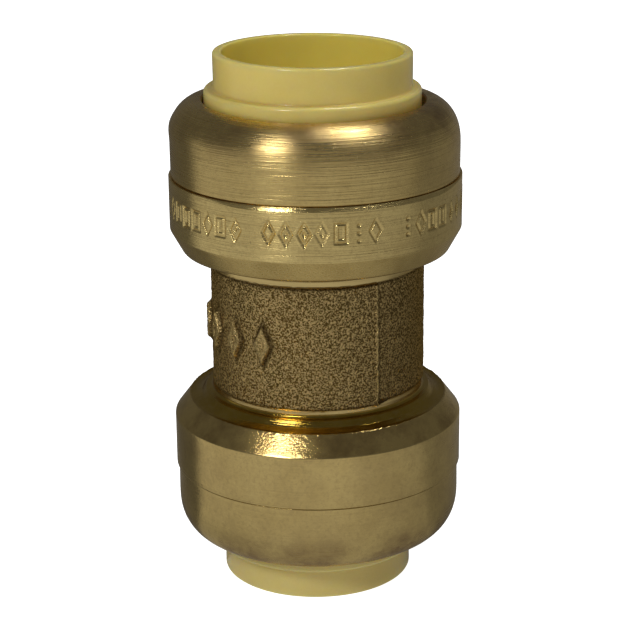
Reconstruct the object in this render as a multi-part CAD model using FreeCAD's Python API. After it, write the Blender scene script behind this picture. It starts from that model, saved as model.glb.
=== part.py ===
import FreeCAD, Part
import math
import os

from FreeCAD import Vector

# A straight push fit coupling for two pipes. Its pipe axis is Z, and its centre is the origin.
# Both ends are alike: each piece is made for the upper end and mirrored to the lower one.
# An outline is a list of (radius, height) points in millimetres.

# The pipe that it takes, and how deep the pipe goes.
pipe_radius = 15.875 / 2
stop_half_height = 1.0
waterway_radius = 6.4

# Brass body: turned band, chamfer and shoulder.
band_radius = 14.05
band_end = 14.55
band_foot = 9.45
chamfer_radius = 12.7
chamfer_foot = 7.4
shoulder_radius = 10.9
shoulder_foot = 6.8
neck_radius = 10.28
neck_foot = 5.75
edge_break = 0.12

# Brass body: the two halves of the rough forging between the necks. The dies didn't quite meet, so
# each half is moved along the parting plane: the left one forwards, the right one back.
left_forging_radius = 10.45
left_forging_shift = 0.1
right_forging_radius = 10.55
right_forging_shift = -0.2
parting_azimuth = 33.0
mark_height = 0.28
mark_half_width = 0.95
mark_half_height = 2.0
mark_z = 0.1
mark_azimuths = (-29.0, -47.5, -66.0, -84.5)

# Brass body: inside.
pipe_bore_radius = pipe_radius + 0.11
seal_groove_radius = 10.2
seal_groove_foot = 7.9
cup_radius = 12.75
cup_floor = 10.6

# Retaining cap, pressed into the cup.
cap_radius = 13.85
cap_skirt_end = 10.9
cap_skirt_bore = 12.0
cap_ledge = 15.25
cap_cavity_radius = 11.4
cap_lip_foot = 19.6
cap_end = 21.55
cap_shoulder = 17.4
cap_mouth_radius = 10.6
cap_lip_round = 0.25
nose_arc_count = 3

# Release collar.
collar_end = 26.0
collar_radius = 9.42
collar_bore_radius = 8.15
collar_step = 22.8
collar_barrel_radius = 10.35
collar_flange_radius = 11.0
collar_flange_top = 19.5
collar_flange_foot = 18.0
collar_nose_radius = 9.1
collar_nose_end = 14.4
collar_relief_end = 18.2
collar_relief_depth = 0.2
collar_round = 0.3

# Rings stacked in the cap's skirt.
stack_radius = 11.7
axial_gap = 0.05
protector_lip = 0.55
protector_top = 13.6
support_bore_radius = 10.0
support_height = 1.05
grab_thickness = 0.4
tooth_root_radius = 10.3
tooth_drop_angle = 35.0
tooth_count = 12
tooth_slot_width = 1.5
tooth_clearance = 0.03

# Seal and pipe liner.
seal_section_radius = 1.09
liner_bore_radius = 5.1
liner_radius = 5.95
liner_flange_radius = 7.9
liner_flange_height = 0.7
liner_end = 17.2


def at(point):
    radius, height = point
    return Vector(radius, 0, height)


def ring(outline):
    """Turns a closed outline about Z. An item of two points is an arc through the first to the second."""
    edges = []
    here = outline[0]
    for item in outline[1:] + outline[:1]:
        if isinstance(item[0], tuple):
            middle, there = item
            edges.append(Part.Arc(at(here), at(middle), at(there)).toShape())
        else:
            there = item
            edges.append(Part.LineSegment(at(here), at(there)).toShape())
        here = there
    return Part.Face(Part.Wire(edges)).revolve(Vector(0, 0, 0), Vector(0, 0, 1), 360)


def round_to(centre, size, start_angle, end_angle):
    """An arc item about a centre, from one angle to another in degrees."""
    points = []
    for angle in ((start_angle + end_angle) / 2, end_angle):
        turn = math.radians(angle)
        points.append((centre[0] + size * math.cos(turn), centre[1] + size * math.sin(turn)))
    return tuple(points)


def around(azimuth, radius):
    """A point in the XY plane. Azimuth 0 faces -Y and grows towards +X."""
    turn = math.radians(azimuth)
    return Vector(radius * math.sin(turn), -radius * math.cos(turn), 0)


def lower(shape):
    return shape.mirror(Vector(0, 0, 0), Vector(0, 0, 1))


def turned_end():
    """The band, chamfer and shoulder of the upper end, solid to the axis."""
    return ring([
        (0, shoulder_foot - 1.2),
        (neck_radius, shoulder_foot - 1.2),
        (neck_radius, shoulder_foot - 0.35),
        round_to((neck_radius + 0.35, shoulder_foot - 0.35), 0.35, 180, 90),
        (shoulder_radius, shoulder_foot),
        (chamfer_radius - 0.2, chamfer_foot - 0.1),
        (chamfer_radius, chamfer_foot),
        (band_radius - edge_break, band_foot - edge_break),
        (band_radius, band_foot + edge_break),
        (band_radius, band_end - edge_break),
        (band_radius - edge_break, band_end),
        (0, band_end),
    ])


def forging_half(radius, shift, turn):
    """Half of the rough centre, on one side of the parting plane and moved along it."""
    foot = Vector(0, 0, -shoulder_foot)
    half = Part.makeCylinder(radius, 2 * shoulder_foot, foot, Vector(0, 0, 1), 180)
    half.rotate(Vector(0, 0, 0), Vector(0, 0, 1), parting_azimuth + turn)
    half.translate(around(parting_azimuth, shift))
    return half


def raised_mark(azimuth):
    """A plain lozenge standing proud of the left half of the forging."""
    depth = 1.0
    middle = around(azimuth, left_forging_radius + mark_height - depth) + Vector(0, 0, mark_z)
    aside = around(azimuth + 90, mark_half_width)
    above = Vector(0, 0, mark_half_height)
    corners = [middle + aside, middle + above, middle - aside, middle - above]
    lozenge = Part.Face(Part.makePolygon(corners + corners[:1]))
    return lozenge.extrude(around(azimuth, depth))


def neck_cut():
    """The turned strip between the forging and the upper shoulder."""
    return ring([
        (neck_radius, neck_foot),
        (neck_radius + 2, neck_foot),
        (neck_radius + 2, shoulder_foot + 0.001),
        (neck_radius, shoulder_foot + 0.001),
    ])


def body_hollow():
    """The space inside the upper half of the body: waterway, pipe bore, seal groove and cup."""
    return ring([
        (0, -0.5),
        (waterway_radius, -0.5),
        (waterway_radius, stop_half_height),
        (pipe_bore_radius, stop_half_height),
        (pipe_bore_radius, seal_groove_foot),
        (seal_groove_radius, seal_groove_foot),
        (seal_groove_radius, cup_floor),
        (cup_radius, cup_floor),
        (cup_radius, band_end + 1),
        (0, band_end + 1),
    ])


def coupling_body():
    left = forging_half(left_forging_radius, left_forging_shift, 90)
    right = forging_half(right_forging_radius, right_forging_shift, -90)
    centre = left.fuse(right)
    for azimuth in mark_azimuths:
        centre = centre.fuse(raised_mark(azimuth))
    centre = centre.cut(neck_cut()).cut(lower(neck_cut()))
    end = turned_end()
    hollow = body_hollow()
    outside = centre.fuse(end).fuse(lower(end))
    return outside.cut(hollow).cut(lower(hollow)).removeSplitter()


def nose_arcs():
    """The nose from the cap's side to its lip: a quarter ellipse, as arcs through its own points."""
    middle = cap_mouth_radius + cap_lip_round
    width = cap_radius - middle
    height = cap_end - cap_shoulder
    points = []
    for step in range(1, 2 * nose_arc_count + 1):
        turn = math.radians(90) * step / (2 * nose_arc_count)
        points.append((middle + width * math.cos(turn), cap_shoulder + height * math.sin(turn)))
    return list(zip(points[::2], points[1::2]))


def retaining_cap():
    """A brass nose whose skirt is pressed into the cup, with a lip that keeps the collar in."""
    lip_centre = (cap_mouth_radius + cap_lip_round, cap_end - cap_lip_round)
    return ring([
        (cap_skirt_bore, cap_skirt_end),
        (cup_radius, cap_skirt_end),
        (cup_radius, band_end),
        (cap_radius, band_end),
        (cap_radius, cap_shoulder),
        *nose_arcs(),
        round_to(lip_centre, cap_lip_round, 90, 180),
        (cap_mouth_radius, cap_lip_foot),
        (cap_cavity_radius, cap_lip_foot),
        (cap_cavity_radius, cap_ledge),
        (cap_skirt_bore, cap_ledge),
    ])


def release_collar():
    """A flanged sleeve. Pushed in, its nose spreads the teeth off the pipe."""
    relief_radius = collar_bore_radius + collar_relief_depth
    return ring([
        (relief_radius, collar_nose_end),
        (collar_nose_radius - 0.3, collar_nose_end),
        (collar_nose_radius, collar_nose_end + 0.6),
        (collar_nose_radius, collar_flange_foot),
        (collar_flange_radius, collar_flange_foot),
        (collar_flange_radius, collar_flange_top),
        (collar_barrel_radius, collar_flange_top),
        (collar_barrel_radius, collar_step - collar_round),
        round_to((collar_barrel_radius - collar_round, collar_step - collar_round), collar_round, 0, 90),
        (collar_radius, collar_step),
        (collar_radius, collar_end - collar_round),
        round_to((collar_radius - collar_round, collar_end - collar_round), collar_round, 0, 90),
        (collar_bore_radius + collar_round, collar_end),
        round_to((collar_bore_radius + collar_round, collar_end - collar_round), collar_round, 90, 180),
        (collar_bore_radius, collar_relief_end),
        (relief_radius, collar_relief_end - collar_relief_depth),
    ])


def o_ring_protector():
    """A plastic ring on the cup floor, dished to leave the teeth room to bend."""
    foot = cup_floor + axial_gap
    return ring([
        (pipe_bore_radius + 0.1, foot),
        (stack_radius, foot),
        (stack_radius, protector_top),
        (tooth_root_radius + 0.3, protector_top),
        (tooth_root_radius - 0.8, foot + protector_lip),
        (pipe_bore_radius + 0.1, foot + protector_lip),
    ])


def grab_ring():
    """A flat rim with inclined teeth whose tips reach the pipe."""
    foot = protector_top + axial_gap
    top = foot + grab_thickness
    tip_radius = pipe_radius + tooth_clearance
    drop = (tooth_root_radius - tip_radius) * math.tan(math.radians(tooth_drop_angle))
    cone = ring([
        (stack_radius, foot),
        (stack_radius, top),
        (tooth_root_radius, top),
        (tip_radius, top - drop),
        (tip_radius, foot - drop),
        (tooth_root_radius, foot),
    ])
    depth = 2 * drop + 2
    corner = Vector(0, -tooth_slot_width / 2, top - depth + 1)
    slot = Part.makeBox(tooth_root_radius, tooth_slot_width, depth, corner)
    for step in range(tooth_count):
        cutter = slot.copy()
        cutter.rotate(Vector(0, 0, 0), Vector(0, 0, 1), step * 360 / tooth_count)
        cone = cone.cut(cutter)
    return cone


def support_ring():
    """A plain ring between the grab ring's rim and the cap's ledge."""
    foot = protector_top + 2 * axial_gap + grab_thickness
    return ring([
        (support_bore_radius + 0.3, foot),
        (stack_radius, foot),
        (stack_radius, foot + support_height),
        (support_bore_radius, foot + support_height),
        (support_bore_radius, foot + 0.3),
    ])


def o_ring():
    centre = Vector(0, 0, (seal_groove_foot + cup_floor) / 2)
    radius = seal_groove_radius - 0.02 - seal_section_radius
    return Part.makeTorus(radius, seal_section_radius, centre, Vector(0, 0, 1))


def pipe_liner():
    """A flange on the pipe stop and a tube that holds a soft pipe round from inside."""
    flange_top = stop_half_height + liner_flange_height
    return ring([
        (liner_bore_radius, stop_half_height),
        (liner_flange_radius, stop_half_height),
        (liner_flange_radius, flange_top),
        (liner_radius, flange_top),
        (liner_radius, liner_end - 1.0),
        (liner_radius - 0.35, liner_end),
        (liner_bore_radius, liner_end),
    ])


os.makedirs("parts", exist_ok=True)
pieces = {"coupling_body": coupling_body()}
for name, make in (
    ("retaining_cap", retaining_cap),
    ("release_collar", release_collar),
    ("grab_ring", grab_ring),
    ("support_ring", support_ring),
    ("o_ring_protector", o_ring_protector),
    ("o_ring", o_ring),
    ("pipe_liner", pipe_liner),
):
    upper = make()
    pieces["upper_" + name] = upper
    pieces["lower_" + name] = lower(upper)
for name, shape in pieces.items():
    shape.exportStep(os.path.join("parts", name + ".step"))
    print(name, shape.isValid(), len(shape.Solids), round(shape.Volume, 1))
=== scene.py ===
import math

import bpy
import numpy as np
from mathutils import Matrix, Vector


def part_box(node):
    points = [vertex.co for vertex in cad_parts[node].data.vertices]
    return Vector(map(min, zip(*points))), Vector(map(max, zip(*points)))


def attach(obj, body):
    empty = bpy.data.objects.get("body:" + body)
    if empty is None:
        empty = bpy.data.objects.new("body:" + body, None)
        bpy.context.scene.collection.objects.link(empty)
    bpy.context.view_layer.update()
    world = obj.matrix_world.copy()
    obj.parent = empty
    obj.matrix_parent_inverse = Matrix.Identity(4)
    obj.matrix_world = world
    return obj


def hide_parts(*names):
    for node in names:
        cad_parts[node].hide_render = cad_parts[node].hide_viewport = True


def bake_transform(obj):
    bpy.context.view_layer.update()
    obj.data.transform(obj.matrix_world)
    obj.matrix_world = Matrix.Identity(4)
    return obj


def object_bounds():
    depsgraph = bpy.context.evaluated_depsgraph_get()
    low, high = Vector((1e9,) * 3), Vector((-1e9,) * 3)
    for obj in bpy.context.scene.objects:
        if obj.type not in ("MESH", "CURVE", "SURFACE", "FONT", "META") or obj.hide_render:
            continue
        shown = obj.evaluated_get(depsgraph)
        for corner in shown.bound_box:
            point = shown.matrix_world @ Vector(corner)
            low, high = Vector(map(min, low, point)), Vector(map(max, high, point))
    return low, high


# A brass push fit coupling, standing upright on a pale floor. The pipe axis is Z and the camera looks
# along +Y. Lengths are in millimetres until a mesh is made, and azimuth 0 faces -Y, growing towards +X.

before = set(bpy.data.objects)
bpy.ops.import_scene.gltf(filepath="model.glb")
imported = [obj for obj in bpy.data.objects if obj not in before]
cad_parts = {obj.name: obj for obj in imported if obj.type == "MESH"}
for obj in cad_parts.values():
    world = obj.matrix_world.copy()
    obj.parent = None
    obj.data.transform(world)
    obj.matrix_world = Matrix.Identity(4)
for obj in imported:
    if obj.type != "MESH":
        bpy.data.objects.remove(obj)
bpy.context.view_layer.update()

MM = 0.001
ENDS = (("upper", 1), ("lower", -1))


def outer_radius(node):
    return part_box(node)[1].x / MM


def top_of(node):
    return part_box(node)[1].z / MM


# Sizes that the CAD parts in model.glb give.
band_radius = outer_radius("coupling_body")
band_end = top_of("coupling_body")
cap_radius = outer_radius("upper_retaining_cap")
cap_end = top_of("upper_retaining_cap")
collar_end = top_of("upper_release_collar")

# The turned ends of the body. The keys 1 and -1 stand for the upper and the lower end.
band_foot = 9.45
rim_radii = {1: 12.92, -1: 12.62}
rim_feet = {1: 7.43, -1: 7.59}
shoulder_foot = 6.87
neck_radius = 10.26
neck_feet = {1: 5.9, -1: 6.05}
right_neck_rise = 0.22
joint_height = 6.55
pipe_bore_radius = 8.0475
cup_floor = 10.6
cup_radius = 12.75
seal_groove_radius = 10.2
seal_groove_foot = 7.9

# The rough centre of the body, forged in two dies that didn't quite meet. A half is (radius, shift).
parting_azimuth = math.radians(33)
left_half = (10.31, 0.2)
right_half = (10.56, -0.22)
waterway_radius = 6.4
stop_half_height = 1.0

# The retaining caps and the release collars.
cap_shoulder = 17.4
cap_mouth_radius = 10.62
cap_cavity_radius = 11.4
cap_lip_foot = 19.6
cap_ledge = 15.25
cap_skirt_bore = 12.0
cap_skirt_end = 10.9
mouth_drift = -0.08
collar_nose = 14.9
collar_bore_radius = 8.15
collar_step = 22.8
collar_barrel_radius = 10.29
collar_flange_radius = 11.0
collar_drift = -0.15
collar_tubes = {1: (9.46, collar_end + 0.22), -1: (9.26, collar_end - 0.1)}


# ---- Turned meshes -------------------------------------------------------------------------------

def rounded_outline(corners, longest):
    """Rounds a closed outline and divides its long runs, no longer than longest[zone].

    A corner is (radius, height, rounding, zone). Returns points, the zone of the run after each point,
    and how near each point is to a rounded outer edge, from 0 to 1."""
    points, zones, edges = [], [], []
    count = len(corners)
    for i, (radius, height, rounding, zone) in enumerate(corners):
        here = np.array((radius, height))
        if rounding <= 0:
            points.append(here)
            zones.append(zone)
            edges.append(0.0)
            continue
        back = np.array(corners[i - 1][:2]) - here
        ahead = np.array(corners[(i + 1) % count][:2]) - here
        back /= np.linalg.norm(back)
        ahead /= np.linalg.norm(ahead)
        half = math.acos(np.clip(back @ ahead, -1, 1)) / 2
        setback = rounding / math.tan(half)
        start, end = here + back * setback, here + ahead * setback
        centre = here + (back + ahead) / np.linalg.norm(back + ahead) * rounding / math.sin(half)
        first = math.atan2(*(start - centre)[::-1])
        turn = math.atan2(*(end - centre)[::-1]) - first
        turn = (turn + math.pi) % (2 * math.pi) - math.pi
        steps = max(2, round(abs(turn) / math.radians(16)))
        for step in range(steps + 1):
            angle = first + turn * step / steps
            points.append(centre + rounding * np.array((math.cos(angle), math.sin(angle))))
            zones.append(zone)
            edges.append(1.0 if turn > 0 else 0.0)
    fine, fine_zones, fine_edges = [], [], []
    for i, point in enumerate(points):
        run = points[(i + 1) % len(points)] - point
        length = np.linalg.norm(run)
        pieces = max(1, math.ceil(length / longest.get(zones[i], 0.5)))
        for piece in range(pieces):
            fine.append(point + run * piece / pieces)
            fine_zones.append(zones[i])
            fine_edges.append(edges[i] if piece == 0 else 0.0)
    return np.array(fine), fine_zones, np.array(fine_edges)


def turned(name, corners, turns, finishes, longest=None, shape=None, mirror=False, drift=0.0):
    """Turns an outline into a closed mesh. finishes maps each zone to its material.

    shape(radius, height, azimuth, zones) may move the points; each array is rows by turns."""
    outline, zones, edges = rounded_outline(corners, longest or {})
    azimuth = np.linspace(0, 2 * math.pi, turns, endpoint=False)[None, :]
    radius = np.repeat(outline[:, :1], turns, axis=1)
    height = np.repeat(outline[:, 1:], turns, axis=1)
    if shape is not None:
        radius, height = shape(radius, height, azimuth, np.array(zones))
    if mirror:
        height = -height
    rows = len(outline)
    points = np.stack((radius * np.sin(azimuth) + drift, -radius * np.cos(azimuth), height), axis=-1)
    index = np.arange(rows * turns).reshape(rows, turns)
    beside = np.roll(index, -1, axis=1)
    quads = np.stack((index, beside, np.roll(beside, -1, axis=0), np.roll(index, -1, axis=0)), axis=-1)
    if mirror:
        quads = quads[..., ::-1]
    piece = mesh_piece(name, points.reshape(-1, 3), quads.reshape(-1, 4))
    materials = list(dict.fromkeys(finishes.values()))
    for material in materials:
        piece.data.materials.append(material)
    slots = np.repeat([materials.index(finishes[zone]) for zone in zones], turns)
    piece.data.polygons.foreach_set("material_index", slots.astype(np.int32))
    steps = np.linalg.norm(np.diff(outline, axis=0), axis=1)
    along = np.concatenate(([0.0], np.cumsum(steps)))
    add_attribute(piece, "along", np.repeat(along, turns))
    add_attribute(piece, "edge", np.repeat(edges, turns))
    return piece


def mesh_piece(name, points, quads):
    mesh = bpy.data.meshes.new(name)
    mesh.vertices.add(len(points))
    mesh.vertices.foreach_set("co", (points * MM).astype(np.float32).ravel())
    mesh.loops.add(quads.size)
    mesh.loops.foreach_set("vertex_index", quads.astype(np.int32).ravel())
    mesh.polygons.add(len(quads))
    mesh.polygons.foreach_set("loop_start", np.arange(0, quads.size, 4, dtype=np.int32))
    mesh.update(calc_edges=True)
    mesh.validate()
    mesh.polygons.foreach_set("use_smooth", np.ones(len(quads), dtype=bool))
    piece = bpy.data.objects.new(name, mesh)
    bpy.context.scene.collection.objects.link(piece)
    return piece


def add_attribute(piece, name, values):
    attribute = piece.data.attributes.new(name, "FLOAT", "POINT")
    attribute.data.foreach_set("value", np.asarray(values, dtype=np.float32))


def smoothstep(low, high, value):
    share = np.clip((value - low) / (high - low), 0, 1)
    return share * share * (3 - 2 * share)


def grain(shape, spacing, size, seed):
    """Random bumps of about one size, in unit spread. They repeat round the turn. spacing is (down, round)."""
    white = np.random.default_rng(seed).standard_normal(shape)
    down = np.fft.fftfreq(shape[0], spacing[0])[:, None]
    around = np.fft.fftfreq(shape[1], spacing[1])[None, :]
    per_bump = np.hypot(down, around) * size
    field = np.fft.ifft2(np.fft.fft2(white) * np.exp(-((per_bump - 1) / 0.45) ** 2)).real
    return field / field.std()


# ---- Materials -----------------------------------------------------------------------------------

class Wiring:
    """A node tree, with a short call for each kind of node that the finishes and the light need."""

    def __init__(self, tree):
        self.nodes = tree.nodes
        self.links = tree.links

    def feed(self, socket, value):
        if isinstance(value, bpy.types.NodeSocket):
            self.links.new(value, socket)
        else:
            socket.default_value = value

    def vector(self, operation, first, second=None, scale=None):
        node = self.nodes.new("ShaderNodeVectorMath")
        node.operation = operation
        self.feed(node.inputs[0], first)
        if second is not None:
            self.feed(node.inputs[1], second)
        if scale is not None:
            self.feed(node.inputs["Scale"], scale)
        return node.outputs["Vector"]

    def parts(self, vector):
        node = self.nodes.new("ShaderNodeSeparateXYZ")
        self.feed(node.inputs[0], vector)
        return node.outputs

    def math(self, operation, *values):
        node = self.nodes.new("ShaderNodeMath")
        node.operation = operation
        for socket, value in zip(node.inputs, values):
            self.feed(socket, value)
        return node.outputs["Value"]

    def range(self, value, low, high, to_low=0.0, to_high=1.0):
        node = self.nodes.new("ShaderNodeMapRange")
        for socket, given in zip(node.inputs, (value, low, high, to_low, to_high)):
            self.feed(socket, given)
        return node.outputs["Result"]


class Paint(Wiring):
    """A node material. self.place is the point in millimetres."""

    def __init__(self, name, **settings):
        self.material = bpy.data.materials.new(name)
        self.material.use_nodes = True
        super().__init__(self.material.node_tree)
        self.shader = self.nodes["Principled BSDF"]
        for socket, value in settings.items():
            self.shader.inputs[socket.replace("_", " ")].default_value = value
        place = self.nodes.new("ShaderNodeTexCoord").outputs["Object"]
        self.place = self.vector("SCALE", place, scale=1 / MM)

    def noise(self, scale, detail=2.0, roughness=0.5, place=None):
        node = self.nodes.new("ShaderNodeTexNoise")
        self.feed(node.inputs["Vector"], self.place if place is None else place)
        self.feed(node.inputs["Scale"], scale)
        self.feed(node.inputs["Detail"], detail)
        self.feed(node.inputs["Roughness"], roughness)
        return node.outputs["Fac"]

    def attribute(self, name):
        node = self.nodes.new("ShaderNodeAttribute")
        node.attribute_name = name
        return node.outputs["Fac"]

    def mix(self, share, first, second):
        node = self.nodes.new("ShaderNodeMix")
        node.data_type = "RGBA"
        self.feed(node.inputs["Factor"], share)
        self.feed(node.inputs["A"], first if isinstance(first, bpy.types.NodeSocket) else (*first, 1))
        self.feed(node.inputs["B"], second if isinstance(second, bpy.types.NodeSocket) else (*second, 1))
        return node.outputs["Result"]

    def bump(self, height, depth_mm, normal=None):
        node = self.nodes.new("ShaderNodeBump")
        self.feed(node.inputs["Height"], height)
        node.inputs["Distance"].default_value = depth_mm * MM
        if normal is not None:
            self.feed(node.inputs["Normal"], normal)
        return node.outputs["Normal"]

    def streaks(self, pitch, length, detail=3.0):
        """Noise drawn out along the turning direction: its lines are pitch apart and about length long."""
        node = self.nodes.new("ShaderNodeCombineXYZ")
        parts = self.parts(self.place)
        self.feed(node.inputs["X"], self.math("DIVIDE", parts["X"], length))
        self.feed(node.inputs["Y"], self.math("DIVIDE", parts["Y"], length))
        self.feed(node.inputs["Z"], self.math("DIVIDE", self.attribute("along"), pitch))
        return self.noise(1.0, detail, 0.6, node.outputs["Vector"])

    def brush(self, amount):
        """Grooves round the axis: a highlight spreads across them, along the axis."""
        tangent = self.nodes.new("ShaderNodeTangent")
        tangent.direction_type = "RADIAL"
        tangent.axis = "Z"
        self.feed(self.shader.inputs["Tangent"], tangent.outputs["Tangent"])
        self.shader.inputs["Anisotropic"].default_value = amount
        self.shader.inputs["Anisotropic Rotation"].default_value = 0.25

    def finish(self, colour, roughness, normal):
        for name, value in (("Base Color", colour), ("Roughness", roughness), ("Normal", normal)):
            self.feed(self.shader.inputs[name], value)
        return self.material


brass_glance = (0.98, 0.92, 0.8, 1)


def turned_brass(name, light, dark, tarnish, groove, brushed, rough):
    """Bright brass with lathe lines, fine pits and a brown tarnish that gathers on the noses, heavier towards +X as
    painted shade.

    groove is the depth of the lathe lines in millimetres, and rough the least and greatest roughness."""
    paint = Paint(name, Metallic=1.0, Specular_Tint=brass_glance)
    lines = paint.streaks(0.2, 16.0, 2.0)
    fine = paint.streaks(0.09, 5.0, 1.0)
    blotches = paint.noise(0.25, 4.0, 0.6)
    brass = paint.mix(paint.range(blotches, 0.35, 0.7), light, dark)
    parts = paint.parts(paint.place)
    nose = paint.range(paint.math("ABSOLUTE", parts["Z"]), 17.5, 21.2, 0.2, 1.0)
    # Painted shade: the tarnish is up to 1.35 times heavier towards +X, darkening the right side.
    nose = paint.math("MULTIPLY", nose, paint.range(parts["X"], 4.0, 11.0, 1.0, 1.35))
    patches = paint.range(paint.noise(0.2, 6.0, 0.7), 0.40, 0.64)
    stain = paint.math("MULTIPLY", paint.math("MULTIPLY", patches, nose), tarnish)
    brass = paint.mix(stain, brass, (0.38, 0.25, 0.115))
    brass = paint.mix(paint.range(lines, 0.3, 0.45, min(0.45, 6.5 * groove), 0.0), brass, (0.47, 0.33, 0.12))
    mottle = paint.noise(2.6, 5.0, 0.8)
    brass = paint.mix(paint.range(mottle, 0.48, 0.66, 0.0, 0.5), brass, (0.52, 0.37, 0.15))
    pits = paint.range(paint.noise(2.4, 2.0, 0.5), 0.77, 0.81, 0.0, 0.8)
    brass = paint.mix(pits, brass, (0.16, 0.10, 0.04))
    rough = paint.range(fine, 0.3, 0.7, *rough)
    rough = paint.math("ADD", rough, paint.math("MULTIPLY", stain, 0.12))
    paint.brush(brushed)
    normal = paint.bump(lines, groove)
    normal = paint.bump(fine, 0.5 * groove, normal)
    normal = paint.bump(mottle, 0.014, normal)
    return paint.finish(brass, rough, normal)


def satin_brass(name, light, dark, facet, rough):
    """The chamfers: grainy, with small bright and dull facets, that many millimetres deep."""
    paint = Paint(name, Metallic=1.0, Specular_Tint=brass_glance)
    facets = paint.noise(6.5, 2.0, 0.6)
    lines = paint.streaks(0.14, 6.0)
    stain = paint.range(paint.noise(0.35, 5.0, 0.65), 0.42, 0.66)
    brass = paint.mix(stain, light, dark)
    brass = paint.mix(paint.range(facets, 0.28, 0.42, 0.4, 0.0), brass, (0.33, 0.22, 0.08))
    rough = paint.range(facets, 0.3, 0.7, *reversed(rough))
    normal = paint.bump(facets, facet)
    normal = paint.bump(lines, 0.012, normal)
    return paint.finish(brass, rough, normal)


def cast_brass():
    """The forging's own skin, dull and full of small worm-like bumps. Cut necks and worn tops shine."""
    paint = Paint("cast_brass", Metallic=1.0, Specular_Tint=(0.8, 0.6, 0.35, 1))
    worms = paint.range(paint.noise(6.2, 1.0, 0.5), 0.42, 0.59)
    small = paint.noise(8.0, 2.0, 0.5)
    patches = paint.range(paint.noise(0.22, 4.0), 0.35, 0.7)
    brass = paint.mix(patches, (0.17, 0.105, 0.03), (0.13, 0.09, 0.026))
    brass = paint.mix(worms, brass, (0.74, 0.53, 0.22))
    brass = paint.mix(paint.range(small, 0.36, 0.5, 0.4, 0.0), brass, (0.10, 0.06, 0.02))
    # Painted shade, darkening the creases round the marks, beside the parting step, at the casting's foot and in
    # the notch.
    brass = paint.mix(paint.math("MULTIPLY", paint.attribute("crease_shade"), 0.75), brass, (0.09, 0.06, 0.02))
    rough = paint.range(worms, 0.0, 1.0, 0.44, 0.34)
    normal = paint.bump(worms, 0.035)
    normal = paint.bump(small, 0.04, normal)
    scuffed = paint.math("MULTIPLY", paint.attribute("worn"), paint.range(small, 0.3, 0.6, 0.6, 1.0))
    worn = paint.range(scuffed, 0.25, 0.9)
    cut = paint.attribute("cut")
    shining = paint.math("MAXIMUM", cut, paint.math("MULTIPLY", worn, 0.7))
    lines = paint.streaks(0.12, 6.0)
    bright = paint.mix(paint.range(lines, 0.3, 0.6), (0.62, 0.44, 0.17), (0.82, 0.62, 0.26))
    brass = paint.mix(shining, brass, bright)
    rough = paint.math("MULTIPLY", rough, paint.range(shining, 0, 1, 1.0, 0.5))
    calm = paint.nodes.new("ShaderNodeMix")
    calm.data_type = "VECTOR"
    first, second = [socket for socket in calm.inputs if socket.type == "VECTOR" and socket.name in "AB"]
    paint.feed(calm.inputs["Factor"], cut)
    paint.feed(first, normal)
    paint.feed(second, paint.bump(lines, 0.015))
    normal = [socket for socket in calm.outputs if socket.type == "VECTOR"][0]
    return paint.finish(brass, rough, normal)


def bore_brass():
    """The inside of the body, bored and left as it is."""
    paint = Paint("bore_brass", Metallic=1.0)
    lines = paint.streaks(0.2, 14.0)
    brass = paint.mix(paint.range(lines, 0.35, 0.6), (0.60, 0.43, 0.16), (0.80, 0.60, 0.23))
    return paint.finish(brass, paint.range(lines, 0.3, 0.7, 0.3, 0.42), paint.bump(lines, 0.015))


def collar_plastic(name, light, dark, weight):
    """Pale yellow plastic that light sinks into, paler and duller where its edges have rubbed."""
    paint = Paint(name, Subsurface_Weight=weight, Subsurface_Scale=0.002, IOR=1.49)
    paint.shader.inputs["Subsurface Radius"].default_value = (1.0, 0.72, 0.16)
    cloud = paint.noise(0.16, 4.0, 0.6)
    speckle = paint.noise(5.0, 3.0, 0.6)
    plastic = paint.mix(paint.range(cloud, 0.3, 0.7), light, dark)
    plastic = paint.mix(paint.range(speckle, 0.25, 0.75, 0.0, 0.16), plastic, (0.90, 0.76, 0.34))
    rubbed = paint.range(paint.noise(0.7, 5.0, 0.65), 0.3, 0.65, 0.35, 1.0)
    edge = paint.math("MULTIPLY", paint.attribute("edge"), rubbed)
    plastic = paint.mix(paint.math("MULTIPLY", edge, 0.3), plastic, (0.62, 0.54, 0.28))
    rough = paint.range(paint.noise(0.9, 5.0, 0.7), 0.3, 0.7, 0.1, 0.22)
    normal = paint.bump(paint.noise(3.2, 3.0, 0.6), 0.010)
    return paint.finish(plastic, rough, normal)


def stamped_steel():
    paint = Paint("stamped_steel", Metallic=1.0)
    scratches = paint.noise(1.0, 3.0, 0.6, paint.vector("MULTIPLY", paint.place, (1.0, 1.0, 14.0)))
    steel = paint.mix(paint.range(scratches, 0.3, 0.7), (0.52, 0.53, 0.55), (0.72, 0.73, 0.74))
    return paint.finish(steel, paint.range(scratches, 0.3, 0.7, 0.22, 0.4), paint.bump(scratches, 0.006))


def moulded_plastic(name, light, dark):
    paint = Paint(name, IOR=1.5)
    cloud = paint.noise(0.3, 4.0, 0.6)
    grainy = paint.noise(7.0, 3.0, 0.6)
    plastic = paint.mix(paint.range(cloud, 0.3, 0.7), light, dark)
    return paint.finish(plastic, paint.range(grainy, 0.3, 0.7, 0.42, 0.58), paint.bump(grainy, 0.012))


def seal_rubber():
    paint = Paint("seal_rubber", IOR=1.52)
    film = paint.noise(0.8, 4.0, 0.6)
    rubber = paint.mix(paint.range(film, 0.4, 0.7), (0.012, 0.012, 0.013), (0.035, 0.034, 0.032))
    return paint.finish(rubber, paint.range(film, 0.3, 0.7, 0.22, 0.5), paint.bump(paint.noise(9.0), 0.008))


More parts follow.
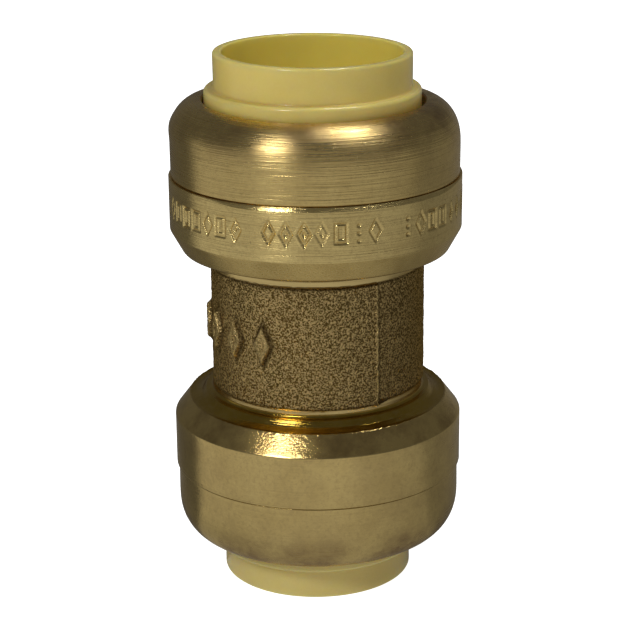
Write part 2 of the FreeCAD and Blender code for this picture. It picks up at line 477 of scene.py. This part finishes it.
yellow, deep_yellow = (0.84, 0.63, 0.245), (0.75, 0.55, 0.205)
brass_body = turned_brass("turned_brass_body", (0.92, 0.71, 0.29), (0.85, 0.64, 0.25),
                          tarnish=0.4, groove=0.045, brushed=0.92, rough=(0.2, 0.3))
brass_cap = turned_brass("turned_brass_cap", yellow, deep_yellow,
                         tarnish=0.75, groove=0.055, brushed=0.8, rough=(0.2, 0.3))
brass_smooth = turned_brass("turned_brass_smooth", yellow, deep_yellow,
                            tarnish=1.35, groove=0.014, brushed=0.7, rough=(0.14, 0.24))
# Painted shade: a darker, deeper gold copy of the brass for the lower shoulder's groove, standing for its shade and
# the reflections thrown between its walls.
brass_groove_painted_shade = turned_brass("turned_brass_groove", (0.51, 0.335, 0.05), (0.38, 0.24, 0.03),
                            tarnish=0.3, groove=0.035, brushed=0.5, rough=(0.08, 0.15))
# Painted shade: a darkened copy of the brass for the upper shoulder and rim, under the band's overhang, and for the
# seams between the caps and the body.
brass_painted_shade = turned_brass("turned_brass_shade", (0.42, 0.28, 0.09), (0.30, 0.19, 0.05),
                           tarnish=0.3, groove=0.016, brushed=0.3, rough=(0.3, 0.42))
# Dark brown brass for the caps' mouths: tarnish, and painted shade in the gap against the collars.
brass_mouth_shade = turned_brass("turned_brass_mouth", (0.24, 0.18, 0.12), (0.17, 0.13, 0.09),
                           tarnish=0.3, groove=0.01, brushed=0.0, rough=(0.3, 0.42))
brass_satin = satin_brass("satin_brass", (0.76, 0.555, 0.205), (0.51, 0.35, 0.13),
                          facet=0.022, rough=(0.15, 0.25))
brass_dull = satin_brass("satin_brass_dull", (0.78, 0.575, 0.215), (0.66, 0.475, 0.17),
                         facet=0.008, rough=(0.24, 0.34))
brass_cast = cast_brass()
brass_bore = bore_brass()
plastic_collar = collar_plastic("collar_plastic", (0.83, 0.66, 0.18), (0.77, 0.605, 0.16), 0.55)
plastic_pale = collar_plastic("collar_plastic_pale", (0.73, 0.605, 0.22), (0.68, 0.55, 0.187), 0.55)
# Painted light: a brighter, deeper yellow copy of the collar plastic for the collars' bores, standing for light
# that shines through the walls.
plastic_bore_painted_glow = collar_plastic("collar_plastic_bore", (1.0, 0.8, 0.15), (0.97, 0.755, 0.13), 0.35)
plastic_white = moulded_plastic("white_plastic", (0.72, 0.72, 0.68), (0.62, 0.62, 0.57))
plastic_liner = moulded_plastic("liner_plastic", (0.66, 0.60, 0.42), (0.55, 0.50, 0.34))
steel = stamped_steel()
rubber = seal_rubber()


# ---- The body ------------------------------------------------------------------------------------

def forging_radius(azimuth, half):
    """The radius of a half that is shifted along the parting plane, as seen from the axis."""
    radius, shift = half
    turn = azimuth - parting_azimuth
    return shift * np.cos(turn) + np.sqrt(radius ** 2 - (shift * np.sin(turn)) ** 2)


mark_azimuths = np.radians((-29.0, -47.5, -66.0, -84.5))
mark_size = (0.95, 2.0)
mark_z = 0.1
mark_height = 0.5


def raised_marks(azimuth, height):
    """Worn lozenges, the only marks on the forging: how far each point stands proud."""
    proud = np.zeros(np.broadcast(azimuth, height).shape)
    for middle in mark_azimuths:
        across = wrapped(azimuth - middle) * left_half[0]
        reach = np.abs(across) / mark_size[0] + np.abs(height - mark_z) / mark_size[1]
        proud = np.maximum(proud, smoothstep(1.12, 0.8, reach) - 0.3 * smoothstep(0.45, 0.2, reach))
    return proud


def wrapped(angle):
    return (angle + math.pi) % (2 * math.pi) - math.pi


def forged_centre(radius, height, azimuth, zones):
    """Gives the outside its two halves, the necks, the marks and the shot-blasted skin."""
    outside = zones == "cast"
    rows = height[outside]
    spacing = (abs(rows[1, 0] - rows[0, 0]), 2 * math.pi * left_half[0] / azimuth.size)
    shot = grain(rows.shape, spacing, 0.34, 3)
    lumps = grain(rows.shape, spacing, 1.6, 4)
    wander = grain(rows.shape, spacing, 0.9, 5)
    turn = wrapped(azimuth - parting_azimuth) * left_half[0] + 0.045 * wander
    behind = wrapped(azimuth - parting_azimuth - math.pi) * left_half[0] + 0.045 * wander
    right = np.where(np.abs(turn) < np.abs(behind), smoothstep(-0.04, 0.06, turn), smoothstep(0.04, -0.06, behind))
    skin = (1 - right) * forging_radius(azimuth, left_half) + right * forging_radius(azimuth, right_half)
    flash = np.exp(-((turn + 0.08) / 0.09) ** 2) + np.exp(-((behind - 0.08) / 0.09) ** 2)
    flash = flash * np.clip(0.17 + 0.05 * lumps, 0.04, 0.3)
    skin = skin + mark_height * raised_marks(azimuth, rows) + flash + 0.016 * shot + 0.01 * lumps
    foot = np.where(rows > 0, neck_feet[1], neck_feet[-1] - right_neck_rise * right)
    neck = smoothstep(-0.05, 0.05, np.abs(rows) - foot + 0.012 * wander)
    radius[outside] = skin + neck * (neck_radius - skin)
    return radius, height


centre_half = joint_height + 0.05
centre = turned("coupling_body_centre", [
    (pipe_bore_radius, -centre_half, 0, "bore"),
    (neck_radius - 0.02, -centre_half, 0, "cast"),
    (neck_radius - 0.02, centre_half, 0, "bore"),
    (pipe_bore_radius, centre_half, 0, "bore"),
    (pipe_bore_radius, stop_half_height, 0.1, "bore"),
    (waterway_radius, stop_half_height, 0.2, "bore"),
    (waterway_radius, -stop_half_height, 0.2, "bore"),
    (pipe_bore_radius, -stop_half_height, 0.1, "bore"),
], 800, {"cast": brass_cast, "bore": brass_bore}, {"cast": 0.1}, forged_centre)


def mark_centre(piece):
    """Says where the centre was cut smooth, where it has worn, and where painted shade darkens it: round the marks,
    beside the parting step and faintly over the right half, at the casting's foot and in a notch below the right
    half.
    """
    points = np.zeros(len(piece.data.vertices) * 3, np.float32)
    piece.data.vertices.foreach_get("co", points)
    x, y, z = (points.reshape(-1, 3) / MM).T
    azimuth = np.arctan2(x, -y)
    past_ridge = wrapped(azimuth - parting_azimuth) * neck_radius
    lowest_neck = min(neck_feet.values()) - 0.1
    cut = (np.abs(np.hypot(x, y) - neck_radius) < 0.004) & (np.abs(z) > lowest_neck)
    ridge = np.exp(-((past_ridge + 0.09) / 0.11) ** 2)
    add_attribute(piece, "worn", np.maximum(0.7 * raised_marks(azimuth, z), ridge))
    # Painted shade: rings round the marks, a band beside the parting step that stays faint over the right half, the
    # casting's foot, and the notch under the right half's skin.
    shade_around_marks = np.zeros(len(z))
    for middle in mark_azimuths:
        across = wrapped(azimuth - middle) * left_half[0]
        away = np.abs(across) / mark_size[0] + np.abs(z - mark_z) / mark_size[1]
        shade_around_marks = np.maximum(shade_around_marks, smoothstep(1.5, 1.15, away) * smoothstep(0.9, 1.05, away))
    shade_in_step = 0.8 * np.exp(-((past_ridge - 0.2) / 0.14) ** 2) + 0.2 * smoothstep(0.1, 0.3, past_ridge)
    feet = np.where(z > 0, neck_feet[1], neck_feet[-1] - right_neck_rise * (past_ridge > 0))
    shade_at_foot = np.exp(-((np.abs(z) - feet + 0.08) / 0.09) ** 2)
    notch_foot = neck_feet[-1] + 0.28 - 0.25 * past_ridge
    notch_shadow = (np.abs(past_ridge - 0.75) < 0.72) & (z < -feet) & (-z < notch_foot)
    creases = np.clip(np.maximum(np.maximum(shade_around_marks, shade_in_step), shade_at_foot), 0, 1) * ~cut
    add_attribute(piece, "cut", cut & ~notch_shadow)
    add_attribute(piece, "crease_shade", np.where(notch_shadow, 1.2, creases))


mark_centre(centre)
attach(centre, "fitting")
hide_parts("coupling_body")


# The ring of stamped shapes on the upper band. They are plain geometric figures, about as big as the
# marks on the real band, and every ninth place is left empty.
stamp_low, stamp_high = 10.75, 13.45
stamp_middle = 12.1
stamp_reach = 1.0
stamp_stroke = 0.18
stamp_depth = 0.17
stamp_pitch = 1.66
stamped_break = 0.4
stamp_kinds = ("lozenge", "nested_lozenge", "pressed_lozenge", "box", "dots")


def outside_square(x, y, turn, narrow, reach):
    """How far a point lies outside a square, turned that much and then made narrower along x."""
    inner = reach * math.cos(math.pi / 4)
    farthest = np.full(x.shape, -1e9)
    for side in range(4):
        angle = turn + (side + 0.5) * 2 * math.pi / 4
        across, up = narrow * math.cos(angle), math.sin(angle)
        farthest = np.maximum(farthest, (x * across + y * up - inner) / math.hypot(across, up))
    return farthest


def stamp_figure(kind, x, y):
    """Distance from the strokes' middle line."""
    if kind == "dots":
        return np.maximum(np.hypot(x, np.abs(np.abs(y) - 0.36) - 0.36) - 0.06, 0)
    if kind == "box":
        outside = outside_square(x, y, math.pi / 4, 1.7, 1.25 * stamp_reach)
        return np.minimum(np.abs(outside), np.abs(outside + 0.4))
    outside = outside_square(x, y, math.pi / 2, 1.8, stamp_reach)
    if kind == "pressed_lozenge":
        return np.maximum(outside + 0.1, 0)
    if kind == "nested_lozenge":
        return np.minimum(np.abs(outside), np.abs(outside + 0.42))
    return np.abs(outside)


def stamped_depths(azimuth, height):
    """How deep the stamp has pressed at each point of the band."""
    random = np.random.default_rng(21)
    count = int(2 * math.pi * band_radius / stamp_pitch)
    depth = np.zeros(np.broadcast(azimuth, height).shape)
    for step in range(count):
        kind = stamp_kinds[random.integers(len(stamp_kinds))]
        shift = random.normal(0, 0.05, 2)
        strength = random.uniform(0.6, 1.15)
        if step % 9 == 4:
            continue
        x = wrapped(azimuth - (step + 0.35) * 2 * math.pi / count) * band_radius + shift[0]
        y = height - stamp_middle + shift[1]
        near = np.abs(x) < stamp_pitch / 2
        apart = stamp_figure(kind, np.where(near, x, 9.0), y)
        stroke = smoothstep(stamp_stroke, 0.03, apart)
        burr = np.exp(-((apart - stamp_stroke - 0.05) / 0.08) ** 2)
        depth = np.where(near, strength * (stamp_depth * stroke - 0.02 * burr), depth)
    return depth


def ragged(azimuth, waves, seed):
    """A random wandering round the turn, in unit spread, with about that many waves."""
    random = np.random.default_rng(seed)
    wander = np.zeros(azimuth.shape)
    for count in range(waves // 2, 2 * waves, max(1, waves // 12)):
        wander = wander + random.normal() * np.cos(count * azimuth + random.uniform(0, 2 * math.pi))
    return wander / wander.std()


def worn_end(seed, stamped):
    """Returns the shaping of one turned end: its stamps, its ragged rim and its nicked edges.

    The stamped band's bevel is cut only towards the front, and elsewhere its edge is sharp."""
    def shape(radius, height, azimuth, zones):
        if stamped:
            band = zones == "stamp"
            radius[band] -= stamped_depths(azimuth, height[band])
        rim = zones == "rim"
        rough = 0.0 if stamped else 0.01
        edge = np.exp(-((height - band_foot) / 0.12) ** 2) * (radius > 13)
        radius -= 2 * rough * edge * np.clip(ragged(azimuth, 70, seed + 5) - 1.3, 0, 1.5)
        height[rim] -= rough * (ragged(azimuth, 90, seed) + ragged(azimuth, 31, seed + 1))
        radius[rim] += rough * ragged(azimuth, 70, seed + 2)
        lip = zones == "lip"
        if stamped:
            flush = 1 - smoothstep(-0.85, -0.5, wrapped(azimuth)) * smoothstep(1.35, 0.9, wrapped(azimuth))
            up = np.clip((height[lip] - band_end) / stamped_break + 1, 0, 1)
            height[lip] += flush * (1 - up) * 0.32
            radius[lip] += flush * up * 0.19
        nick = smoothstep(1.8, 3.2, ragged(azimuth, 60, seed + 3))
        radius[lip] -= 0.02 * nick
        height[lip] += 0.003 * ragged(azimuth, 50, seed + 4) - 0.02 * nick
        return radius, height
    return shape


def end_outline(stamped, rim_radius, rim_foot):
    """One end of the body. The stamped band's top edge is broken by a bevel."""
    break_size = stamped_break if stamped else 0.1
    return [
        (pipe_bore_radius, joint_height, 0, "bore"),
        (neck_radius, joint_height, 0, "turned"),
        (neck_radius, shoulder_foot - 0.02, 0.3, "shoulder"),
        (10.95, shoulder_foot, 0.05, "shoulder"),
        (11.02, shoulder_foot + 0.08, 0.05, "shoulder"),
        (11.35, rim_foot - 0.18, 0.25, "shoulder"),
        (12.0, rim_foot + 0.08, 0.4, "shoulder"),
        (12.5, rim_foot + 0.1, 0.12, "shoulder"),
        (rim_radius - 0.07, rim_foot - 0.03, 0, "rim"),
        (rim_radius - 0.01, rim_foot - 0.02, 0, "rim"),
        (rim_radius + 0.05, rim_foot + 0.06, 0, "chamfer"),
        (band_radius, band_foot, 0.22, "turned"),
        (band_radius, stamp_low, 0, "stamp"),
        (band_radius, stamp_high, 0, "turned"),
        (band_radius, band_end - break_size, 0.05, "lip"),
        (band_radius - 0.6 * break_size, band_end, 0.03, "lip"),
        (cup_radius + 0.06, band_end, 0.1, "bore"),
        (cup_radius + 0.06, cup_floor, 0.1, "bore"),
        (seal_groove_radius, cup_floor, 0.1, "bore"),
        (seal_groove_radius, seal_groove_foot, 0.15, "bore"),
        (pipe_bore_radius, seal_groove_foot, 0.1, "bore"),
    ]


end_finishes = {"turned": brass_body, "shoulder": brass_painted_shade, "rim": brass_painted_shade, "chamfer": brass_dull,
                "stamp": brass_body, "lip": brass_body, "bore": brass_bore}


def arc_of_nose():
    """The nose from its shoulder to the mouth: a little squarer than an ellipse."""
    middle = cap_mouth_radius + 0.12
    foot = cap_shoulder + 0.15
    corners = []
    for step in range(1, 16):
        turn = math.radians(90) * step / 16
        across = (cap_radius - middle) * math.cos(turn) ** 0.91
        up = (cap_end - foot) * math.sin(turn) ** 0.91
        corners.append((middle + across, foot + up, 0, "nose"))
    return corners


cap_outline = [
    (cap_skirt_bore, cap_skirt_end, 0.15, "skirt"),
    (cup_radius, cap_skirt_end, 0.3, "skirt"),
    (cup_radius, band_end + 0.01, 0, "seam"),
    (cap_radius - 0.12, band_end + 0.01, 0, "seam"),
    (cap_radius - 0.02, band_end + 0.16, 0.08, "nose"),
    (cap_radius, cap_shoulder, 0, "nose"),
    *arc_of_nose(),
    (cap_mouth_radius + 0.1, cap_end, 0.05, "mouth"),
    (cap_mouth_radius - 0.02, cap_end - 0.14, 0.06, "mouth"),
    (cap_mouth_radius - 0.02, cap_lip_foot, 0.15, "skirt"),
    (cap_cavity_radius, cap_lip_foot, 0.2, "skirt"),
    (cap_cavity_radius, cap_ledge, 0.1, "skirt"),
    (cap_skirt_bore, cap_ledge, 0.1, "skirt"),
]


def worn_cap(seed, fuller):
    """Returns the shaping of a cap. Its mouth was bored a little off its axis, and its left is fuller."""
    def shape(radius, height, azimuth, zones):
        on_nose = (zones == "nose")[:, None]
        to_left = np.maximum(0, -np.sin(azimuth))
        swell = smoothstep(17.7, 19.8, height) * smoothstep(cap_end + 0.3, 20.6, height) * on_nose
        radius += fuller * swell * to_left
        inward = smoothstep(cap_radius - 0.4, cap_mouth_radius, radius)
        inward *= smoothstep(cap_ledge, cap_lip_foot, height)
        radius += inward * mouth_drift * np.sin(azimuth)
        nose = smoothstep(cap_shoulder, cap_end, height) * on_nose
        radius += 0.01 * nose * ragged(azimuth, 4, seed)
        height += 0.9 * fuller * smoothstep(20.3, cap_end, height) * to_left ** 2
        mouth = (zones == "mouth")[:, None]
        height += mouth * 0.012 * ragged(azimuth, 60, seed + 1)
        return radius, height
    return shape


def collar_outline(radius, end):
    """A collar whose outer tube has that radius and end."""
    return [
        (collar_bore_radius + 0.2, collar_nose, 0.1, "plastic"),
        (8.8, collar_nose, 0.1, "plastic"),
        (9.1, collar_nose + 0.5, 0.2, "plastic"),
        (9.1, 18.0, 0.1, "plastic"),
        (collar_flange_radius, 18.0, 0.15, "plastic"),
        (collar_flange_radius, 19.5, 0.2, "plastic"),
        (collar_barrel_radius, 19.5, 0.1, "plastic"),
        (collar_barrel_radius, collar_step, 0.34, "plastic"),
        (radius - 0.03, collar_step, 0.2, "plastic"),
        (radius, end, 0.26, "plastic"),
        (collar_bore_radius + 0.42, end, 0.2, "bore"),
        (collar_bore_radius, 18.8, 0.4, "bore"),
        (collar_bore_radius, 18.2, 0.1, "bore"),
        (collar_bore_radius + 0.2, 18.0, 0.1, "bore"),
    ]


def worn_collar(seed, lean):
    """Returns the shaping of a moulded collar: not quite round or square, and nicked where the pipe goes in."""
    def shape(radius, height, azimuth, zones):
        outer = smoothstep(collar_step - 1, collar_end, height)
        height -= outer * lean * radius * np.sin(azimuth)
        radius += outer * 0.02 * np.cos(2 * azimuth + seed)
        step = smoothstep(19.4, 19.6, height) * (1 - outer)
        radius += 10 * lean * step * (radius > 9.5) * (0.5 - 0.5 * np.sin(azimuth))
        rim = smoothstep(collar_end - 0.5, collar_end, height) * (radius < 8.75)
        nick = smoothstep(1.4, 2.6, ragged(azimuth, 34, seed))
        height -= rim * (0.07 * nick + 0.01 * ragged(azimuth, 24, seed + 1))
        radius += rim * 0.025 * nick
        return radius, height
    return shape


protector_outline = [
    (8.15, 10.65, 0.15, "plastic"),
    (11.7, 10.65, 0.2, "plastic"),
    (11.7, 13.6, 0.15, "plastic"),
    (10.6, 13.6, 0.1, "plastic"),
    (9.5, 11.2, 0.3, "plastic"),
    (8.15, 11.2, 0.15, "plastic"),
]
support_outline = [
    (10.3, 14.1, 0.1, "plastic"),
    (11.7, 14.1, 0.12, "plastic"),
    (11.7, 15.15, 0.2, "plastic"),
    (10.0, 15.15, 0.15, "plastic"),
    (10.0, 14.4, 0.1, "plastic"),
]
liner_outline = [
    (5.1, stop_half_height, 0.15, "plastic"),
    (7.9, stop_half_height, 0.15, "plastic"),
    (7.9, 1.7, 0.2, "plastic"),
    (5.95, 1.7, 0.3, "plastic"),
    (5.95, 16.2, 0.5, "plastic"),
    (5.6, 17.2, 0.12, "plastic"),
    (5.1, 17.2, 0.2, "plastic"),
]


seal_middle, seal_height, seal_section = 9.09, 9.25, 1.09


def seal_outline():
    """The O-ring's round section."""
    corners = []
    for step in range(32):
        turn = math.radians(-90 + step * 360 / 32)
        radius, height = seal_middle + seal_section * math.cos(turn), seal_height + seal_section * math.sin(turn)
        corners.append((radius, height, 0, "rubber"))
    return corners


def moulded_seal(radius, height, azimuth, zones):
    """A thin line of flash along the seal's inside and outside, as the mould leaves it."""
    line = np.exp(-((height - seal_height) / 0.12) ** 2)
    radius += 0.012 * line * np.sign(radius - seal_middle)
    return radius, height


# ---- The grab rings ------------------------------------------------------------------------------

ring_foot, ring_top, ring_outer, tooth_root, tooth_tip = 13.65, 14.05, 11.7, 10.3, 7.97
tooth_count, slot_half_width = 12, 0.75
tooth_slope = math.tan(math.radians(35))
rim_steps = 240


def swept(loops):
    """Points and quads of a tube through closed loops of equal length."""
    count, size = len(loops), len(loops[0])
    points = np.array(loops).reshape(-1, 3)
    index = np.arange(count * size).reshape(count, size)
    beside = np.roll(index, -1, axis=1)
    quads = np.stack((index[:-1], beside[:-1], beside[1:], index[1:]), axis=-1)
    return points, quads.reshape(-1, 4)


def tooth_loops(azimuth):
    """The sections of one tooth, from inside the rim to its tip."""
    half_turn = math.pi / tooth_count
    loops = []
    stations = [(tooth_root + 0.25, 0.02), (tooth_root + 0.25, 1.0)]
    stations += [(radius, 1.0) for radius in np.linspace(tooth_root, tooth_tip + 0.06, 9)]
    stations += [(tooth_tip, 0.75), (tooth_tip - 0.01, 0.02)]
    for radius, fullness in stations:
        drop = max(0.0, tooth_root - radius) * tooth_slope
        half_width = radius * math.tan(half_turn - math.asin(slot_half_width / radius))
        middle = (ring_foot + ring_top) / 2 - drop
        half_thick = (ring_top - ring_foot) / 2 * fullness
        loop = []
        for across, up in section_square(half_width * min(1.0, 0.4 + fullness), half_thick, 0.06):
            bent = across / radius
            loop.append((radius * math.sin(azimuth + bent), -radius * math.cos(azimuth + bent), middle + up))
        loops.append(loop)
    return loops


def section_square(half_width, half_height, rounding):
    """A rectangle with rounded corners, divided along its width."""
    rounding = min(rounding, half_height * 0.9)
    loop = []
    corners = ((1, 1, 0), (-1, 1, 90), (-1, -1, 180), (1, -1, 270))
    for side, level, first in corners:
        for step in range(3):
            angle = math.radians(first + 45 * step)
            loop.append((side * (half_width - rounding) + rounding * math.cos(angle),
                         level * (half_height - rounding) + rounding * math.sin(angle)))
        if first in (0, 180):
            for share in (0.6, 0.2, -0.2, -0.6):
                loop.append((side * share * half_width, level * half_height))
    return loop


def grab_ring(name, mirror):
    """The steel rim with its twelve inclined teeth."""
    rim_azimuths = np.linspace(0, 2 * math.pi, rim_steps, endpoint=False)
    middle_radius = (ring_outer + tooth_root) / 2
    loops = []
    for azimuth in rim_azimuths:
        loop = []
        for across, up in section_square((ring_outer - tooth_root) / 2, (ring_top - ring_foot) / 2, 0.08):
            radius = middle_radius + across
            loop.append((radius * math.sin(azimuth), -radius * math.cos(azimuth), (ring_foot + ring_top) / 2 + up))
        loops.append(loop)
    loops.append(loops[0])
    points, quads = swept(loops)
    once_round = rim_steps * len(loops[0])
    quads = np.where(quads >= once_round, quads - once_round, quads)
    points = points[:once_round]
    every_points, every_quads = [points], [quads]
    for tooth in range(tooth_count):
        points, quads = swept(tooth_loops((tooth + 0.5) * 2 * math.pi / tooth_count))
        every_quads.append(quads[:, ::-1] + sum(len(p) for p in every_points))
        every_points.append(points)
    points, quads = np.concatenate(every_points), np.concatenate(every_quads)
    if mirror:
        points = points * (1, 1, -1)
        quads = quads[:, ::-1]
    piece = mesh_piece(name, points, quads)
    piece.data.materials.append(steel)
    return piece


# ---- Both ends -----------------------------------------------------------------------------------

def fit(piece, body, node):
    """Puts a piece on its body, in place of that CAD node."""
    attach(piece, body)
    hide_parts(node)


cap_finishes = {"skirt": brass_bore, "seam": brass_painted_shade, "nose": brass_cap, "mouth": brass_mouth_shade}
low_cap_finishes = {**cap_finishes, "nose": brass_smooth}
low_end_finishes = {**end_finishes, "turned": brass_smooth, "stamp": brass_smooth,
                    "shoulder": brass_groove_painted_shade, "chamfer": brass_satin, "rim": brass_satin}
for seed, (end, side) in enumerate(ENDS):
    mirror = side < 0
    stamped = not mirror
    body_end = turned(f"coupling_body_{end}_end", end_outline(stamped, rim_radii[side], rim_feet[side]),
                      1000 if stamped else 640, end_finishes if stamped else low_end_finishes,
                      {"stamp": 0.085, "chamfer": 0.3}, worn_end(40 + 10 * seed, stamped), mirror)
    fit(body_end, "fitting", "coupling_body")
    cap = turned(f"{end}_retaining_cap_turned", cap_outline, 480, low_cap_finishes if mirror else cap_finishes,
                 {"nose": 0.35}, worn_cap(60 + 10 * seed, 0.05 if mirror else 0.3), mirror)
    fit(cap, "fitting", f"{end}_retaining_cap")
    outline = collar_outline(*collar_tubes[side])
    plastic = plastic_pale if mirror else plastic_collar
    collar = turned(f"{end}_release_collar_moulded", outline, 360,
                    {"plastic": plastic, "bore": plastic_bore_painted_glow}, {"plastic": 0.4},
                    worn_collar(80 + 10 * seed, 0.0 if mirror else 0.007), mirror, collar_drift)
    fit(collar, f"{end}_collar", f"{end}_release_collar")
    protector = turned(f"{end}_o_ring_protector_moulded", protector_outline, 180, {"plastic": plastic_white},
                       mirror=mirror)
    fit(protector, "fitting", f"{end}_o_ring_protector")
    support = turned(f"{end}_support_ring_moulded", support_outline, 180, {"plastic": plastic_white},
                     mirror=mirror)
    fit(support, f"{end}_grip", f"{end}_support_ring")
    seal = turned(f"{end}_o_ring_moulded", seal_outline(), 180, {"rubber": rubber}, shape=moulded_seal,
                  mirror=mirror)
    fit(seal, "fitting", f"{end}_o_ring")
    liner = turned(f"{end}_pipe_liner_moulded", liner_outline, 180, {"plastic": plastic_liner}, mirror=mirror)
    fit(liner, "fitting", f"{end}_pipe_liner")
    teeth = grab_ring(f"{end}_grab_ring_stamped", mirror)
    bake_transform(teeth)
    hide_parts(f"{end}_grab_ring")


# ---- Floor, light and camera ---------------------------------------------------------------------

def studio_glow(wiring, direction):
    """What lights the coupling from each side: bright in front, dim behind, with fairly sharp edges."""
    parts = wiring.parts(direction)
    around = wiring.math("ARCTAN2", parts["X"], wiring.math("MULTIPLY", parts["Y"], -1.0))
    left = wiring.range(around, math.radians(-112), math.radians(-106))
    right = wiring.range(around, math.radians(85), math.radians(79))
    behind = wiring.range(around, -0.6, 0.6, 0.10, 0.175)
    front = wiring.range(around, math.radians(15), math.radians(75), 0.44, 0.275)
    inside = wiring.math("MULTIPLY", left, right)
    lit = wiring.math("MULTIPLY", inside, front)
    dim = wiring.math("MULTIPLY", wiring.math("SUBTRACT", 1.0, inside), behind)
    return wiring.math("ADD", lit, dim)


def floor_paper():
    """White to the camera. To everything else it glows as the studio does, 2.25 times as bright to diffuse rays,
    with a painted shadow near the coupling that is deepest on its left.
    """
    paint = Paint("floor_paper", Base_Color=(0.9, 0.9, 0.9, 1), Roughness=0.8)
    paint.shader.inputs["Emission Color"].default_value = (1, 1, 1, 1)
    paint.shader.inputs["Emission Strength"].default_value = 1.0
    light_path = paint.nodes.new("ShaderNodeLightPath").outputs
    bounce = paint.range(light_path["Is Diffuse Ray"], 0, 1, 1.0, 2.25)
    parts = paint.parts(paint.place)
    x, y = parts["X"], parts["Y"]
    near = paint.math("SQRT", paint.math("ADD", paint.math("POWER", x, 2.0), paint.math("POWER", y, 2.0)))
    # Painted shadow: the glow dims within 55 mm of the coupling, and more on its left within 34 mm.
    shaded = paint.range(near, 12.0, 55.0, 0.72, 1.0)
    painted_shade_on_left = paint.math("MULTIPLY", paint.range(x, -30.0, -5.0, 0.3, 0.0), paint.range(near, 20.0, 34.0, 1.0, 0.0))
    shaded = paint.math("SUBTRACT", shaded, painted_shade_on_left)
    # On the left the studio's edge is drawn from a point 27.5 mm out. That is where the brass reflects it.
    shifted = paint.nodes.new("ShaderNodeCombineXYZ")
    beside = paint.math("MINIMUM", paint.math("ADD", x, 27.5), paint.math("MAXIMUM", x, 0.0))
    paint.feed(shifted.inputs["X"], beside)
    paint.feed(shifted.inputs["Y"], y)
    glowing = paint.math("MULTIPLY", studio_glow(paint, shifted.outputs["Vector"]), shaded)
    glow = paint.nodes.new("ShaderNodeEmission")
    paint.feed(glow.inputs["Strength"], paint.math("MULTIPLY", glowing, bounce))
    to_camera = paint.nodes.new("ShaderNodeMixShader")
    paint.feed(to_camera.inputs["Fac"], light_path["Is Camera Ray"])
    paint.feed(to_camera.inputs[1], glow.outputs["Emission"])
    paint.feed(to_camera.inputs[2], paint.shader.outputs["BSDF"])
    paint.feed(paint.nodes["Material Output"].inputs["Surface"], to_camera.outputs["Shader"])
    return paint.material


bpy.ops.mesh.primitive_plane_add(size=3.0, location=(0, 0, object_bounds()[0].z))
floor = bpy.context.object
floor.name = "floor"
floor.data.materials.append(floor_paper())


def studio_world():
    """White to the camera. What the brass sees is dim above, and a little lighter near the horizon."""
    world = bpy.data.worlds.new("studio")
    bpy.context.scene.world = world
    world.use_nodes = True
    wiring = Wiring(world.node_tree)
    direction = wiring.nodes.new("ShaderNodeTexCoord").outputs["Generated"]
    up = wiring.parts(direction)["Z"]
    low = wiring.range(up, 0.0, 0.12, 1.0, 0.0)
    glow = wiring.math("MULTIPLY", studio_glow(wiring, direction), low)
    high = wiring.math("MULTIPLY", wiring.math("SUBTRACT", 1.0, low), 0.1)
    seen = wiring.nodes.new("ShaderNodeLightPath").outputs["Is Camera Ray"]
    strength = wiring.math("ADD", wiring.math("ADD", glow, high), wiring.math("MULTIPLY", seen, 1.2))
    wiring.nodes["Background"].inputs["Color"].default_value = (1, 1, 1, 1)
    wiring.feed(wiring.nodes["Background"].inputs["Strength"], strength)


lamp_distance = 0.8


def softbox(name, azimuth, elevation, width, height, radiance):
    """A rectangle of light in that direction from the coupling, of that brightness."""
    light = bpy.data.lights.new(name, "AREA")
    light.shape = "RECTANGLE"
    light.size = width
    light.size_y = height
    light.energy = radiance * math.pi * width * height
    lamp = bpy.data.objects.new(name, light)
    bpy.context.scene.collection.objects.link(lamp)
    a, e = math.radians(azimuth), math.radians(elevation)
    place = Vector((math.sin(a) * math.cos(e), -math.cos(a) * math.cos(e), math.sin(e))) * lamp_distance
    lamp.location = place
    lamp.rotation_euler = (-place).to_track_quat("-Z", "Y").to_euler()


studio_world()
softbox("key_softbox", -34, 38, width=0.18, height=0.13, radiance=28.0)
softbox("overhead_softbox", 110, 75, width=0.1, height=0.25, radiance=30.0)

# The camera's place, tilt and angle of view were worked out from the ellipses of the coupling's edges.
camera_data = bpy.data.cameras.new("camera")
camera_data.sensor_width = 36
camera_data.lens = 3.253968 * camera_data.sensor_width
camera_data.clip_start = 0.01
camera = bpy.data.objects.new("camera", camera_data)
bpy.context.scene.collection.objects.link(camera)
pitch = Matrix.Rotation(math.radians(90 - 17.863), 4, "X")
roll = Matrix.Rotation(math.radians(-0.587), 4, "Z")
camera.matrix_world = Matrix.Translation((-0.00017, -0.1908, 0.06156)) @ pitch @ roll
bpy.context.scene.camera = camera
bpy.context.scene.view_settings.view_transform = "Standard"
